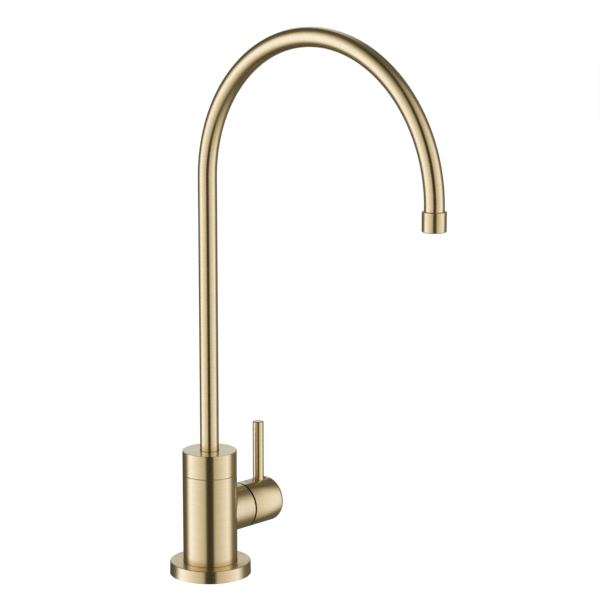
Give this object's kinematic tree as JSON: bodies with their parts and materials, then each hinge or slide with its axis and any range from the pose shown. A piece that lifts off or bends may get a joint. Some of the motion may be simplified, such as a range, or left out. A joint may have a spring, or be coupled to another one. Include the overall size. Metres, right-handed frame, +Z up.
{
  "type": "water filter faucet",
  "caption": "Tall drinking water tap: swivelling gooseneck spout, upright body on a round base, side valve with a rod lever, threaded shank with its fixing nut, and a push-in inlet.",
  "frame": {"origin": "centre of the base's underside, where the shank's axis meets the top of the sink deck", "axes": "+Z up along the shank and the body, -Y towards the outlet with the spout at rest, +X along the side valve towards its handle"},
  "size_m": [0.0738, 0.1996, 0.414],
  "materials": {
    "brushed_gold": "brushed",
    "raw_brass": "turned",
    "stainless_steel": "satin",
    "black_rubber": "matt",
    "white_plastic": "semi gloss",
    "grey_plastic": "moulded",
    "ceramic": "lapped"
  },
  "bodies": {
    "base": {"base_flange": "brushed_gold", "base_gasket": "black_rubber", "valve_body": "brushed_gold", "spout_glide_ring": "white_plastic", "spout_keeper_ring": "white_plastic", "cartridge_housing": "raw_brass", "cartridge_inlet_seal": "black_rubber", "fixed_ceramic_disc": "ceramic", "cartridge_o_ring": "black_rubber", "cartridge_ring_nut": "raw_brass", "threaded_shank": "raw_brass", "shank_seal": "black_rubber", "deck_rubber_washer": "black_rubber", "deck_steel_washer": "stainless_steel", "mounting_nut": "raw_brass", "adapter_body": "grey_plastic", "adapter_gasket": "black_rubber", "adapter_o_ring": "black_rubber", "grab_ring": "stainless_steel", "adapter_end_sleeve": "grey_plastic"},
    "collet": {"release_collet": "white_plastic"},
    "spout": {"spout_tube": "brushed_gold", "spout_cap": "brushed_gold", "spout_stem": "raw_brass", "spout_o_ring_lower": "black_rubber", "spout_o_ring_upper": "black_rubber", "outlet_collar": "brushed_gold", "flow_straightener": "white_plastic", "outlet_screen": "stainless_steel", "outlet_gasket": "black_rubber"},
    "handle": {"handle_hub": "brushed_gold", "handle_lever": "brushed_gold", "hub_set_screw": "stainless_steel", "valve_stem": "raw_brass", "moving_ceramic_disc": "ceramic", "stem_o_ring": "black_rubber", "stem_slip_washer": "white_plastic", "stem_snap_ring": "stainless_steel"}
  },
  "joints": [
    {"name": "spout_swivel", "type": "hinge", "parent": "base", "child": "spout", "pos_m": [0, 0, 0], "axis": [0, 0, 1], "continuous": true},
    {"name": "handle_turn", "type": "hinge", "parent": "base", "child": "handle", "pos_m": [0.0258, 0, 0.0355], "axis": [1, 0, 0], "range_deg": [0, 90]},
    {"name": "collet_release", "type": "slide", "parent": "base", "child": "collet", "axis": [0, 0, 1], "range_m": [0, 0.0012]}
  ]
}
